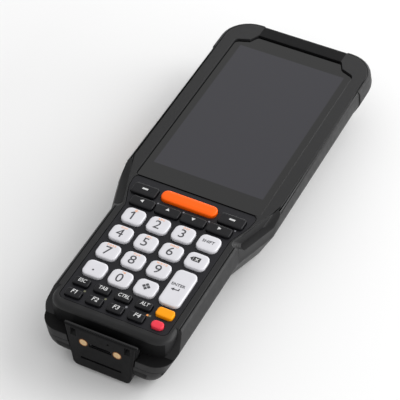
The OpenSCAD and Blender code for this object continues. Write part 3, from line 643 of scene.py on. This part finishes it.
# %% Holes and corners of the dock face
DOCK_FACE_Y = cad_low.y
DOCK_TOP_Z = 25 * MM
FACE_HALF_LOW = 12.4 * MM  # half the width of the face at z = 0
FACE_HALF_MORE = 4.6 * MM  # how much wider each half is at the top
CORNER_ROUND = 1.2 * MM
CORNER_SEGMENTS = 4
CORNER_SLACK = 0.7 * MM  # how near to a side of the face a corner's edge lies
CORNER_FROM_Z = 6 * MM
CORNER_BEND = 40
UPRIGHT = 0.8  # how much of an edge's direction points up
HOLES_HALF = 14 * MM
HOLES_FROM_Z = 3.8 * MM
HOLES_DEPTH = 1.5 * MM


def behind_dock_face(place):
    return place.y - DOCK_FACE_Y


def on_dock_face(place):
    """True on the middle of the dock face, where the holes keep their crisp edges."""
    near = behind_dock_face(place) < HOLES_DEPTH
    return near and abs(place.x) < HOLES_HALF and place.z > HOLES_FROM_Z


def is_dock_corner(bend, place, along):
    """True on the two upright edges of the dock face."""
    half = FACE_HALF_LOW + FACE_HALF_MORE * place.z / DOCK_TOP_Z
    at_side = abs(abs(place.x) - half) < CORNER_SLACK and behind_dock_face(place) < CORNER_ROUND
    return bend > CORNER_BEND and at_side and place.z > CORNER_FROM_Z and abs(along.z) > UPRIGHT


print("dock face:", round(2 * (FACE_HALF_LOW + FACE_HALF_MORE) / MM, 1), "mm wide at its top")

# %% [markdown]
# ### The shells
# Hard casings get fillets near 0.3 mm, thin inserts and metal parts get finer ones, as their tools
# would leave them. One width for all would be too coarse for the connector's small openings. The
# front casing takes the material with the painted shade on the bezel, and the other shells take
# their node's finish.

# %% Shells
FILLETS = {
    "front_housing": 0.28 * MM,
    "rear_housing": 0.28 * MM,
    "corner_bumpers": 0.3 * MM,
    "keypad_plate": 0.12 * MM,
    "battery_pack": 0.22 * MM,
    "battery_latch": 0.15 * MM,
    "side_trigger": 0.3 * MM,
    "volume_rocker": 0.3 * MM,
    "touch_glass": 0.25 * MM,
    "dock_contacts": 0.15 * MM,
    "dock_connector": 0.08 * MM,
    "scan_window": 0.15 * MM,
    "camera_window": 0.15 * MM,
    "housing_screws": 0.15 * MM,
}
shells = {}
for node, width in FILLETS.items():
    shell = shells[node] = copy_of(node, node + "_shell")
    if node == "rear_housing":
        round_edges(shell, CORNER_ROUND, CORNER_SEGMENTS, is_dock_corner)
    soften(shell, width, skip=on_dock_face)
    if node == "front_housing":
        shell.data.materials.append(FRONT_BLACK_WITH_BEZEL_SHADE)
    stand_for(shell, node)
    print(shell.name, len(shell.data.polygons), "faces")

# %% [markdown]
# ### The shaded places
# The dock face and the recess under the lip lie in shade, and that shade is painted with the darker
# black. They could be masked as the bezel is, but they end at real edges. So both casings carry that
# black as a second material, and each face takes one of the two by its place.

# %% Faces in painted shade
# where the shade is painted: the dock face on the rear casing, the recess under the lip on the front
# casing
SHADE_HALF = 17.6 * MM
SHADE_DEPTH = 1 * MM
RECESS_DEPTH = 8 * MM
RECESS_Z = (17.6 * MM, 23 * MM)


def in_painted_shade(node, place):
    """True on the faces that get painted shade: the dock face and the recess under the lip."""
    if node == "rear_housing":
        return behind_dock_face(place) < SHADE_DEPTH and abs(place.x) < SHADE_HALF
    return behind_dock_face(place) < RECESS_DEPTH and RECESS_Z[0] < place.z < RECESS_Z[1]


for node in ("front_housing", "rear_housing"):
    casing = shells[node].data
    casing.materials.append(PAINTED_SHADE_BLACK)
    for face in casing.polygons:
        face.material_index = 1 if in_painted_shade(node, face.center) else 0
    print(node, "has", sum(face.material_index for face in casing.polygons), "darker faces")

# %% [markdown]
# ### Rings round the dock contacts
# Each gold contact sits in a thin ring of tarnished brass. The ring could be cut out of the casing,
# but a torus that is partly sunk into the dock face shows the same and leaves the contact free.

# %% Contact rings
CONTACT_FLANGE = 0.4 * MM  # how far a contact's hidden flange reaches past its disc
RING_WIRE = 0.2 * MM
RING_SUNK = 0.08 * MM
RING_STEPS, WIRE_STEPS = 40, 10
contact_low, contact_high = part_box("dock_contacts")
contact_z = (contact_low.z + contact_high.z) / 2
contact_r = (contact_high.z - contact_low.z) / 2 - CONTACT_FLANGE
contact_x = contact_high.x - CONTACT_FLANGE - contact_r
for name, x in (("contact_ring_left", -contact_x), ("contact_ring_right", contact_x)):
    bpy.ops.object.select_all(action="DESELECT")
    bpy.ops.mesh.primitive_torus_add(
        major_radius=contact_r + RING_WIRE, minor_radius=RING_WIRE,
        major_segments=RING_STEPS, minor_segments=WIRE_STEPS,
        location=(x, contact_low.y + RING_SUNK, contact_z), rotation=(math.radians(90), 0, 0),
    )
    ring = bpy.context.object
    ring.name = name
    only(ring)
    bpy.ops.object.transform_apply(location=True, rotation=True, scale=True)
    bpy.ops.object.shade_smooth_by_angle(angle=math.radians(SMOOTH_BELOW))
    ring.data.materials.append(BROWN_BRASS)
    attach(ring, "terminal")
print("contact rings, radius", round(contact_r / MM, 2), "mm")

# %% [markdown]
# ## Keys
# A key top is a shallow pillow that a fingertip finds by feel. Every key could have a shape of its
# own, but three kinds are enough: the white keys, the wide scan key, which rises most, and the small
# keys.

# %% Kinds of keys
# Rounding of the rim, width of a step and rise of each step, in millimetres
KEY_SHAPES = {
    "white": (0.45, 0.5, (0.05, 0.02)),
    "wide": (0.6, 0.6, (0.10, 0.04)),
    "small": (0.35, 0.25, (0.05, 0.02)),
}


def shape_of(node):
    if slot_of[node] == "key_white":
        return "white"
    return "wide" if node == "key_scan" else "small"


print("crowns in mm:", {name: round(sum(rises), 2) for name, (_, _, rises) in KEY_SHAPES.items()})

# %% [markdown]
# ### The flat top
# By hand, a face is picked with a click. In code it is picked by its place and direction, and a
# key's flat top is what looks straight up at the key's full height.

# %% Pick faces
FACING_UP = 0.995


def pick_faces(piece, wanted):
    """Opens a piece in edit mode with only the faces selected that wanted(centre, normal) names."""
    only(piece)
    bpy.context.tool_settings.mesh_select_mode = (False, False, True)
    bpy.ops.object.mode_set(mode="EDIT")
    bpy.ops.mesh.select_all(action="DESELECT")
    bpy.ops.object.mode_set(mode="OBJECT")
    for face in piece.data.polygons:
        face.select = wanted(face.center, face.normal)
    bpy.ops.object.mode_set(mode="EDIT")


scan_faces = frame["nodes"]["key_scan"].data.polygons
facing_up = sum(face.normal.z > FACING_UP for face in scan_faces)
print("scan key:", facing_up, "of", len(scan_faces), "triangles look up")

# %% [markdown]
# ### The crown
# A subdivision surface could round a key, but it would also pull the key's outline in. So the rim
# of the flat top is rounded with a bevel, and the top is then inset in two steps that rise, the
# second one less, which gives a low dome with few faces.

# %% Crown a key
TOP_SLACK = 0.01 * MM
RIM_SEGMENTS = 4
KEY_SMOOTH_BELOW = 50


def crowned_key(node, rounding, step, rises):
    """A key with a rounded rim and a top that rises in steps towards its middle."""
    cap = copy_of(node, node + "_cap")
    top = max(v.co.z for v in cap.data.vertices)

    def is_top(centre, normal):
        return normal.z > FACING_UP and centre.z > top - TOP_SLACK

    pick_faces(cap, is_top)
    bpy.ops.mesh.region_to_loop()
    bpy.ops.mesh.bevel(
        offset=rounding * MM, segments=RIM_SEGMENTS, affect="EDGES", clamp_overlap=True,
    )
    bpy.ops.object.mode_set(mode="OBJECT")
    pick_faces(cap, is_top)
    for rise in rises:
        bpy.ops.mesh.inset(thickness=step * MM)
        bpy.ops.transform.translate(value=(0, 0, rise * MM))
    bpy.ops.object.mode_set(mode="OBJECT")
    smooth_shading(cap, KEY_SMOOTH_BELOW)
    return cap


print("a crowned rim has", RIM_SEGMENTS, "segments")

# %% [markdown]
# ### Flat lettering
# A legend starts as a flat mark above the key. Lettering could be drawn stroke by stroke, but the
# built-in font has every letter that is needed. A text object is turned into a mesh at once, because
# only a mesh can follow a surface and be joined to a key. All sizes of marks are given in
# millimetres.

# %% Lettering
ABOVE_ALL = 40 * MM
CAPITAL = 0.682  # height of a capital in the built-in font, as a share of the font's size
CURVE_STEPS = 4


def place_in_mesh(piece):
    """Moves a piece's place, turn and size into its mesh."""
    only(piece)
    bpy.ops.object.transform_apply(location=True, rotation=True, scale=True)
    return piece


def flat_text(words, x, y, height, slant=0.0, weight=0.0, squeeze=1.0, spacing=1.0):
    """Flat lettering, centred on x, y, with capitals of that height."""
    bpy.ops.object.select_all(action="DESELECT")
    bpy.ops.object.text_add(location=(x * MM, y * MM, ABOVE_ALL))
    letters = bpy.context.object
    letters.data.body = words
    letters.data.size = height * MM / CAPITAL
    letters.data.align_x = "CENTER"
    letters.data.align_y = "CENTER"
    letters.data.shear = slant
    letters.data.offset = weight * MM
    letters.data.space_character = spacing
    letters.data.resolution_u = CURVE_STEPS
    letters.scale = (squeeze, 1, 1)
    only(letters)
    bpy.ops.object.convert(target="MESH")
    return place_in_mesh(bpy.context.object)


print("lettering starts", round(ABOVE_ALL / MM), "mm up, over every key")

# %% [markdown]
# ### Flat shapes
# Arrows, points and bars are regular shapes with 3, 4 or more corners: a filled circle with few
# corners is turned and stretched. A bar is a square that stands on a corner until it is turned by
# an eighth of a turn.

# %% Regular shapes
EIGHTH_TURN = 45


def flat_shape(x, y, corners, radius, turn=0.0, stretch=(1, 1)):
    """A flat regular shape, centred on x, y, turned by some degrees and then stretched."""
    bpy.ops.object.select_all(action="DESELECT")
    bpy.ops.mesh.primitive_circle_add(
        vertices=corners, radius=radius * MM, fill_type="NGON",
        location=(x * MM, y * MM, ABOVE_ALL), rotation=(0, 0, math.radians(turn)),
    )
    shape = place_in_mesh(bpy.context.object)
    bpy.ops.object.mode_set(mode="EDIT")
    bpy.ops.mesh.select_all(action="SELECT")
    bpy.ops.transform.resize(value=(*stretch, 1))
    bpy.ops.object.mode_set(mode="OBJECT")
    return shape


def flat_bar(x, y, width, length):
    """A flat rectangle, centred on x, y: a unit square that is turned upright and stretched."""
    return flat_shape(x, y, 4, math.sqrt(0.5), turn=EIGHTH_TURN, stretch=(width, length))


print("a bar is turned by", EIGHTH_TURN, "degrees before it is stretched")

# %% [markdown]
# ### Ink on a surface
# Ink could be painted into the key's material, but small letters would need a large image. Here the
# mark is cut into small triangles, laid on the crowned key with a Shrinkwrap modifier and given a
# thickness of a few hundredths of a millimetre. It is then joined to its key and moves with it.

# %% Print on a surface
INK_LIFT = 0.04 * MM
INK_DEPTH = 0.05 * MM
INK_CUTS = 2


def print_on(cap, mark, colour):
    """Lays a flat mark on a piece as a layer of ink, and joins it to the piece."""
    only(mark)
    bpy.ops.object.mode_set(mode="EDIT")
    bpy.ops.mesh.select_all(action="SELECT")
    bpy.ops.mesh.quads_convert_to_tris(quad_method="BEAUTY", ngon_method="BEAUTY")
    bpy.ops.mesh.subdivide(number_cuts=INK_CUTS)
    bpy.ops.object.mode_set(mode="OBJECT")
    apply(
        mark, "SHRINKWRAP", target=cap, wrap_method="PROJECT", use_project_z=True,
        use_negative_direction=True, use_positive_direction=False, offset=INK_LIFT,
    )
    apply(mark, "SOLIDIFY", thickness=INK_DEPTH, offset=-1)
    mark.data.materials.clear()
    mark.data.materials.append(colour)
    only(mark)
    cap.select_set(True)
    bpy.context.view_layer.objects.active = cap
    bpy.ops.object.join()


print("ink:", round(INK_DEPTH / MM, 2), "mm thick")

# %% [markdown]
# ### Words
# The built-in font draws a 1 as a bare stick. Another font could be loaded from a file, but it would
# have to travel with the script. So a 1 gets a slanted flag of its own, whose size and place are
# shares of the digit's height.

# %% Words, and the flag of a 1
FLAG_SIZE = (0.34, 0.14)
FLAG_FROM_TOP_RIGHT = (0.24, 0.13)
FLAG_TURN = math.radians(-40)


def flag_for(letters, height):
    """The slanted flag of a 1 at the end of some letters."""
    width, length = FLAG_SIZE
    left, down = FLAG_FROM_TOP_RIGHT
    flag_x = max(v.co.x for v in letters.data.vertices) - left * height * MM
    flag_y = max(v.co.y for v in letters.data.vertices) - down * height * MM
    flag = flat_bar(0, 0, width * height, length * height)
    only(flag)
    bpy.ops.object.mode_set(mode="EDIT")
    bpy.ops.mesh.select_all(action="SELECT")
    bpy.ops.transform.rotate(value=FLAG_TURN, center_override=(0, 0, 0))
    bpy.ops.transform.translate(value=(flag_x, flag_y, 0))
    bpy.ops.object.mode_set(mode="OBJECT")
    return flag


def print_words(cap, words, colour, x, y, height, **style):
    """Prints words on a key; a 1 at their end gets its flag."""
    letters = flat_text(words, x, y, height, **style)
    flag = flag_for(letters, height) if words.endswith("1") else None
    print_on(cap, letters, colour)
    if flag:
        print_on(cap, flag, colour)


print("a flag is", FLAG_SIZE[0], "of the digit's height wide")

# %% [markdown]
# ### Digits
# Digits are dark grey and sit a little left of and below the key's middle, with their small orange
# letters near the top edge. Each could be placed by hand, but they all sit alike, so one function
# places them all.

# %% Digits with their letters
DIGIT_H = 4.5
DIGIT_SHIFT = -0.4
LETTERS_H = 1.0
LETTERS_UP = 3.05
LETTERS_SPACING = 1.25
LETTERS = {"1": "@:", "2": "ABC", "3": "DEF", "4": "GHI", "5": "JKL", "6": "MNO",
           "7": "PQRS", "8": "TUV", "9": "WXYZ", "0": "*#"}


def print_digit(cap, digit, x, y):
    """Prints a digit and the small letters above it."""
    print_words(cap, digit, DARK_INK, x + DIGIT_SHIFT, y + DIGIT_SHIFT, DIGIT_H)
    print_words(
        cap, LETTERS[digit], ORANGE_INK, x, y + LETTERS_UP, LETTERS_H, spacing=LETTERS_SPACING,
    )


print("digits with letters:", "".join(sorted(LETTERS)))

# %% [markdown]
# ### White legends on the black keys
# The small black keys carry slanted white words, narrower on the upper row, which has longer ones.
# The font's own slant is used, because a slanted mesh would have to be sheared point by point. The
# navigation keys carry arrows, which are triangles, and the two soft keys a bar.

# %% Legends of the black keys
WORDS = {"esc": "ESC", "tab": "TAB", "ctrl": "CTRL", "alt": "ALT",
         "f1": "F1", "f2": "F2", "f3": "F3", "f4": "F4"}
# Height of the capitals, squeeze and shift up
UPPER_ROW = (1.75, 0.82, 0.4)
F_ROW = (2.1, 0.95, 0.45)
SLANT = 0.15
BOLD = 0.03
ARROW_TURNS = {"left": 90, "up": 0, "down": 180, "right": -90}


def print_function(cap, label, x, y):
    """Prints ESC to ALT and F1 to F4."""
    height, squeeze, up = F_ROW if label.startswith("f") else UPPER_ROW
    print_words(
        cap, WORDS[label], WHITE_INK, x, y + up, height, slant=SLANT, weight=BOLD, squeeze=squeeze,
    )


def print_arrow(cap, label, x, y):
    print_on(cap, flat_shape(x - 0.3, y + 0.5, 3, 1.0, turn=ARROW_TURNS[label]), WHITE_INK)


def print_soft(cap, x, y):
    print_on(cap, flat_bar(x, y + 0.3, 2.6, 0.9), WHITE_INK)


print("black keys with words:", len(WORDS), "and with arrows:", len(ARROW_TURNS))

# %% [markdown]
# ### Legends of the other white keys
# The right column and the lowest row have signs instead of digits: a point, SHIFT, an arrow with a
# cross for backspace, four small squares for symbols and a bent arrow under ENTER. A sign could be
# traced as one outline, but it is easier to read as a few plain shapes, each placed in millimetres
# from the key's middle.

# %% Signs
def print_point(cap, x, y):
    print_on(cap, flat_shape(x - 0.4, y - 1.0, 16, 0.42), DARK_INK)


def print_shift(cap, x, y):
    print_words(cap, "SHIFT", DARK_INK, x - 0.3, y + 0.4, 1.5, weight=BOLD)


def print_backspace(cap, x, y):
    print_on(cap, flat_bar(x - 0.1, y + 0.45, 3.1, 2.5), BLACK_INK)
    tip = flat_shape(x - 2.1, y + 0.45, 3, 1.45, turn=90, stretch=(0.6, 1.0))
    print_on(cap, tip, BLACK_INK)
    print_on(cap, flat_text("x", x - 0.1, y + 0.55, 1.9, weight=0.08), WHITE_INK)


def print_symbol(cap, x, y):
    reach = 1.05
    for dx, dy in ((reach, 0), (-reach, 0), (0, reach), (0, -reach)):
        print_on(cap, flat_shape(x - 0.1 + dx, y + 0.5 + dy, 4, 0.85), DARK_INK)


def print_enter(cap, x, y):
    print_words(cap, "ENTER", DARK_INK, x - 0.5, y + 1.2, 1.4, weight=BOLD)
    print_on(cap, flat_bar(x - 0.1, y - 1.4, 2.4, 0.45), DARK_INK)
    print_on(cap, flat_bar(x + 0.9, y - 0.8, 0.45, 0.8), DARK_INK)
    print_on(cap, flat_shape(x - 1.6, y - 1.4, 3, 0.9, turn=90), DARK_INK)


SIGNS = {
    "soft_left": print_soft,
    "soft_right": print_soft,
    "point": print_point,
    "shift": print_shift,
    "backspace": print_backspace,
    "symbol": print_symbol,
    "enter": print_enter,
}
print("keys with signs:", len(SIGNS))

# %% [markdown]
# ### Which legend goes where
# The scan key, FN and the power key are told apart by their colour alone and stay bare. For the
# others, the key's name says which legend it gets. Legends are centred on the key's box, which the
# frame gives, so they move along if the key does.

# %% Choose a legend
def key_middle(label):
    """Middle of a key in millimetres, seen from the front."""
    low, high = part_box("key_" + label)
    return (low.x + high.x) / 2 / MM, (low.y + high.y) / 2 / MM


def print_legend(cap, label):
    """Prints what belongs on a key, or nothing."""
    x, y = key_middle(label)
    if label in LETTERS:
        print_digit(cap, label, x, y)
    elif label in WORDS:
        print_function(cap, label, x, y)
    elif label in ARROW_TURNS:
        print_arrow(cap, label, x, y)
    elif label in SIGNS:
        SIGNS[label](cap, x, y)


print("middle of key 5 in mm:", [round(v, 1) for v in key_middle("5")])

# %% [markdown]
# ### All the keys
# Each key is crowned, printed and then put in its node's place. A key of each kind could be made
# once and copied, but the nodes already differ a little in size, so each one starts from its own.

# %% Make the keys
key_nodes = sorted(node for node in slot_of if node.startswith("key_"))
for node in key_nodes:
    cap = crowned_key(node, *KEY_SHAPES[shape_of(node)])
    cap.data.materials.append(FINISHES[slot_of[node]])
    print_legend(cap, node.removeprefix("key_"))
    stand_for(cap, node)
print("keys:", len(key_nodes))

# %% [markdown]
# ### Second functions
# The keypad plate carries tiny marks at the upper right of the keys that have a second function.
# They are printed on the plate, so they are laid on its shell as the legends are on the keys.

# %% Marks on the plate
F_MARK = (3.2, 3.35)
F_MARK_SIDE = 0.9
F_MARK_STEP = 1.1
NAV_MARK = (5.8, 3.15)
NAV_MARK_R = 0.42
F_MARKS = {
    "f1": [OLIVE_INK], "f2": [OLIVE_INK], "f3": [GREY_INK], "f4": [ORANGE_INK, OLIVE_INK],
}
plate = shells["keypad_plate"]
for label, colours in F_MARKS.items():
    x, y = key_middle(label)
    for step, colour in enumerate(colours):
        mark_x = x + F_MARK[0] + F_MARK_STEP * step
        print_on(plate, flat_bar(mark_x, y + F_MARK[1], F_MARK_SIDE, F_MARK_SIDE), colour)
for label in ARROW_TURNS:
    x, y = key_middle(label)
    print_on(plate, flat_shape(x + NAV_MARK[0], y + NAV_MARK[1], 12, NAV_MARK_R), GREY_INK)
print("marks on the plate:", len(ARROW_TURNS) + sum(map(len, F_MARKS.values())))

# %% [markdown]
# ## The stage
# The object lies on a plain pale floor. A backdrop could curve up behind it, but from this height
# the floor fills the picture. Its mottle is wide and faint, so that it is never one flat tone.

# %% Floor
FLOOR_SIDE = 8


def pale_floor():
    material = finish_called("pale_floor", (0.86, 0.86, 0.86), 0.8, Specular_IOR_Level=0.2)
    mottle(material, (0.85, 0.85, 0.85), (0.87, 0.87, 0.87), 400 * MM)
    return material


bpy.ops.object.select_all(action="DESELECT")
bpy.ops.mesh.primitive_plane_add(size=FLOOR_SIDE, location=(0, 0, 0))
floor = bpy.context.object
floor.name = "floor"
floor.data.materials.append(pale_floor())
print("floor:", FLOOR_SIDE, "m square")

# %% [markdown]
# ### Lights
# A black object is seen by what it reflects, so the lights are placed as reflections. The world
# gives an even pale light, a broad panel behind and above lights the faces that look up, and two
# low panels, behind and on the right, draw a bright line along the edges and the side rail that
# face them. A soft box could be a glowing mesh, but an area light gives the same light with less
# noise. Each one faces the middle of the object.

# %% Panels and world
PANEL_AIM = Vector((0, 0, 20)) * MM
WORLD_LIGHT = 0.72
# Place and size in metres, power in watts
PANELS = {
    "back_right_panel": ((0.9, 1.0, 0.9), (1.6, 1.2), 18),
    "low_back_panel": ((0.1, 1.7, 0.28), (2.4, 0.5), 12),
    "low_right_panel": ((1.7, 0.1, 0.28), (2.0, 0.5), 18),
}
for name, (place, (width, height), power) in PANELS.items():
    towards = PANEL_AIM - Vector(place)
    bpy.ops.object.select_all(action="DESELECT")
    bpy.ops.object.light_add(
        type="AREA", location=place, rotation=towards.to_track_quat("-Z", "Y").to_euler(),
    )
    light = bpy.context.object
    light.name = name
    light.data.shape = "RECTANGLE"
    light.data.size = width
    light.data.size_y = height
    light.data.energy = power

world = bpy.data.worlds.new("Studio")
world.use_nodes = True
background = world.node_tree.nodes["Background"]
background.inputs["Color"].default_value = (1, 1, 1, 1)
background.inputs["Strength"].default_value = WORLD_LIGHT
bpy.context.scene.world = world
bpy.context.scene.view_settings.view_transform = "Standard"
print("lights:", len(PANELS), "panels and the world")
